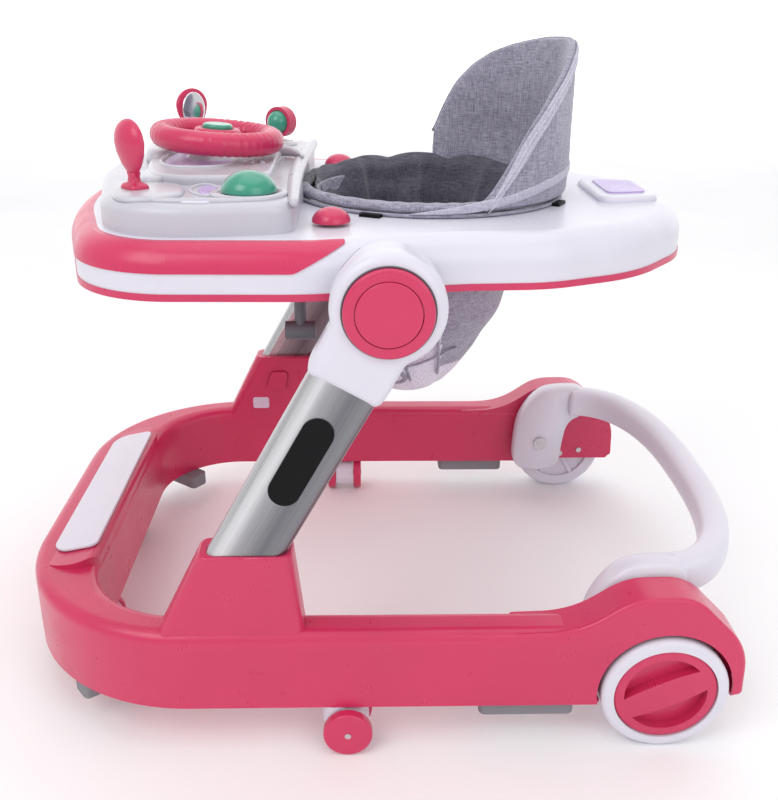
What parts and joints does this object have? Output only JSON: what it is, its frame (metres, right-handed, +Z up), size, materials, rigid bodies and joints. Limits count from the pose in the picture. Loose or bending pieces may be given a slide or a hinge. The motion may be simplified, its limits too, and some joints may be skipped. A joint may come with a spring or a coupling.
{
  "type": "baby walker",
  "caption": "Wheeled U-shaped baby walker with sliding aluminium legs, folding play tray, sling seat, swivel casters and a rear push handle.",
  "frame": {"origin": "on the floor under the middle of the whole walker (bottom centre of its box)", "axes": "+Z up, -Y towards the front bar and the steering wheel, +X towards the seated child's left"},
  "size_m": [0.5721, 0.751, 0.618],
  "materials": {
    "pink_plastic": "satin moulded",
    "white_plastic": "satin moulded",
    "console_plastic": "satin moulded",
    "green_plastic": "gloss",
    "grey_rubber": "matt",
    "grey_plastic": "matt",
    "black_plastic": "matt",
    "lilac_label": "satin",
    "clear_window": "clear",
    "leg_aluminium": "brushed anodised",
    "steel": "bright",
    "mirror_film": "reflective film",
    "grey_fabric": "heathered weave",
    "mesh_fabric": "pale mesh"
  },
  "bodies": {
    "base": {"base_shell": "pink_plastic", "base_bottom_cover": "pink_plastic", "front_label_plate": "white_plastic", "wheel_guards": "pink_plastic", "stop_pads": "grey_rubber", "rear_axles": "steel", "handle_pivot_bolts": "steel", "base_screws": "steel", "height_windows": "clear_window"},
    "handle": {"push_handle": "white_plastic"},
    "rear_wheel_left": {"rear_wheel_left_tyre": "white_plastic", "rear_wheel_left_cap": "pink_plastic"},
    "rear_wheel_right": {"rear_wheel_right_tyre": "white_plastic", "rear_wheel_right_cap": "pink_plastic"},
    "height_button_left": {"height_button_left": "pink_plastic"},
    "height_button_right": {"height_button_right": "pink_plastic"},
    "legs": {"leg_tube_left": "leg_aluminium", "leg_tube_right": "leg_aluminium", "leg_plates": "black_plastic", "leg_housing_left": "white_plastic", "leg_housing_right": "white_plastic", "hub_rings": "pink_plastic", "tray_pivots": "steel"},
    "hub_button_left": {"hub_button_left": "pink_plastic"},
    "hub_button_right": {"hub_button_right": "pink_plastic"},
    "tray": {"tray_upper_shell": "white_plastic", "tray_lower_shell": "pink_plastic", "tray_band": "pink_plastic", "tray_hinge_bosses": "white_plastic", "console_shell": "console_plastic", "rear_label_plate": "lilac_label", "seat_bucket": "mesh_fabric", "seat_rim_roll": "grey_fabric", "seat_backrest": "grey_fabric", "seat_clips": "black_plastic", "strap_hooks": "grey_plastic", "tray_screws": "steel", "spinner_frame": "pink_plastic"},
    "steering_wheel": {"steering_wheel": "pink_plastic"},
    "horn_button": {"horn_button": "green_plastic"},
    "mirror_left": {"mirror_left_shell": "pink_plastic", "mirror_left_glass": "mirror_film"},
    "mirror_right": {"mirror_right_shell": "pink_plastic", "mirror_right_glass": "mirror_film"},
    "dome_button": {"dome_button": "green_plastic"},
    "spinner_ball": {"spinner_ball": "green_plastic"},
    "console_latch_left": {"console_latch_left": "pink_plastic"},
    "console_latch_right": {"console_latch_right": "pink_plastic"},
    "caster_mid_left_swivel": {"caster_mid_left_fork": "white_plastic", "caster_mid_left_pins": "steel"},
    "caster_mid_left_wheels": {"caster_mid_left_wheels": "pink_plastic"},
    "caster_mid_right_swivel": {"caster_mid_right_fork": "white_plastic", "caster_mid_right_pins": "steel"},
    "caster_mid_right_wheels": {"caster_mid_right_wheels": "pink_plastic"},
    "caster_front_left_swivel": {"caster_front_left_fork": "white_plastic", "caster_front_left_pins": "steel"},
    "caster_front_left_wheels": {"caster_front_left_wheels": "pink_plastic"},
    "caster_front_right_swivel": {"caster_front_right_fork": "white_plastic", "caster_front_right_pins": "steel"},
    "caster_front_right_wheels": {"caster_front_right_wheels": "pink_plastic"}
  },
  "joints": [
    {"name": "height_slide", "type": "slide", "parent": "base", "child": "legs", "axis": [0, 0.4848, 0.8746], "range_m": [0, 0.06]},
    {"name": "tray_fold", "type": "hinge", "parent": "legs", "child": "tray", "pos_m": [0, -0.0135, 0.428], "axis": [1, 0, 0], "range_deg": [0, 50]},
    {"name": "hub_press_left", "type": "slide", "parent": "legs", "child": "hub_button_left", "axis": [-1, 0, 0], "range_m": [0, 0.004], "stiffness_N_per_m": 600},
    {"name": "height_press_left", "type": "slide", "parent": "base", "child": "height_button_left", "axis": [1, 0, 0], "range_m": [0, 0.003], "stiffness_N_per_m": 600},
    {"name": "rear_wheel_spin_left", "type": "hinge", "parent": "base", "child": "rear_wheel_left", "pos_m": [0.267, 0.248, 0.06], "axis": [1, 0, 0], "continuous": true},
    {"name": "hub_press_right", "type": "slide", "parent": "legs", "child": "hub_button_right", "axis": [1, 0, 0], "range_m": [0, 0.004], "stiffness_N_per_m": 600},
    {"name": "height_press_right", "type": "slide", "parent": "base", "child": "height_button_right", "axis": [-1, 0, 0], "range_m": [0, 0.003], "stiffness_N_per_m": 600},
    {"name": "rear_wheel_spin_right", "type": "hinge", "parent": "base", "child": "rear_wheel_right", "pos_m": [-0.267, 0.248, 0.06], "axis": [1, 0, 0], "continuous": true},
    {"name": "caster_mid_left_swivel", "type": "hinge", "parent": "base", "child": "caster_mid_left_swivel", "pos_m": [0.266, -0.0605, 0.06], "axis": [0, 0, 1], "continuous": true},
    {"name": "caster_mid_left_roll", "type": "hinge", "parent": "caster_mid_left_swivel", "child": "caster_mid_left_wheels", "pos_m": [0.266, -0.0485, 0.023], "axis": [1, 0, 0], "continuous": true},
    {"name": "caster_mid_right_swivel", "type": "hinge", "parent": "base", "child": "caster_mid_right_swivel", "pos_m": [-0.266, -0.0605, 0.06], "axis": [0, 0, 1], "continuous": true},
    {"name": "caster_mid_right_roll", "type": "hinge", "parent": "caster_mid_right_swivel", "child": "caster_mid_right_wheels", "pos_m": [-0.254, -0.0605, 0.023], "axis": [0, -1, 0], "continuous": true},
    {"name": "caster_front_left_swivel", "type": "hinge", "parent": "base", "child": "caster_front_left_swivel", "pos_m": [0.11, -0.3275, 0.06], "axis": [0, 0, 1], "continuous": true},
    {"name": "caster_front_left_roll", "type": "hinge", "parent": "caster_front_left_swivel", "child": "caster_front_left_wheels", "pos_m": [0.1059, -0.31622, 0.023], "axis": [0.9397, 0.342, 0], "continuous": true},
    {"name": "caster_front_right_swivel", "type": "hinge", "parent": "base", "child": "caster_front_right_swivel", "pos_m": [-0.11, -0.3275, 0.06], "axis": [0, 0, 1], "continuous": true},
    {"name": "caster_front_right_roll", "type": "hinge", "parent": "caster_front_right_swivel", "child": "caster_front_right_wheels", "pos_m": [-0.11, -0.3395, 0.023], "axis": [-1, 0, 0], "continuous": true},
    {"name": "handle_tilt", "type": "hinge", "parent": "base", "child": "handle", "pos_m": [0, 0.2125, 0.09], "axis": [1, 0, 0], "range_deg": [0, 90]},
    {"name": "steering_turn", "type": "hinge", "parent": "tray", "child": "steering_wheel", "pos_m": [0, -0.1795, 0.528], "axis": [0, 0.0698, 0.9976], "continuous": true},
    {"name": "horn_press", "type": "slide", "parent": "steering_wheel", "child": "horn_button", "axis": [0, -0.0698, -0.9976], "range_m": [0, 0.0025], "stiffness_N_per_m": 600},
    {"name": "dome_press", "type": "slide", "parent": "tray", "child": "dome_button", "axis": [0, 0, -1], "range_m": [0, 0.003], "stiffness_N_per_m": 600},
    {"name": "mirror_turn_left", "type": "hinge", "parent": "tray", "child": "mirror_left", "pos_m": [0.157, -0.2295, 0.52], "axis": [0, 0, 1], "range_deg": [-30, 30]},
    {"name": "console_latch_press_left", "type": "slide", "parent": "tray", "child": "console_latch_left", "axis": [0, 0, -1], "range_m": [0, 0.002], "stiffness_N_per_m": 600},
    {"name": "mirror_turn_right", "type": "hinge", "parent": "tray", "child": "mirror_right", "pos_m": [-0.157, -0.2295, 0.52], "axis": [0, 0, 1], "range_deg": [-30, 30]},
    {"name": "console_latch_press_right", "type": "slide", "parent": "tray", "child": "console_latch_right", "axis": [0, 0, -1], "range_m": [0, 0.002], "stiffness_N_per_m": 600},
    {"name": "spinner_spin", "type": "hinge", "parent": "tray", "child": "spinner_ball", "pos_m": [-0.16, -0.1315, 0.525], "axis": [0, 0, 1], "continuous": true}
  ]
}
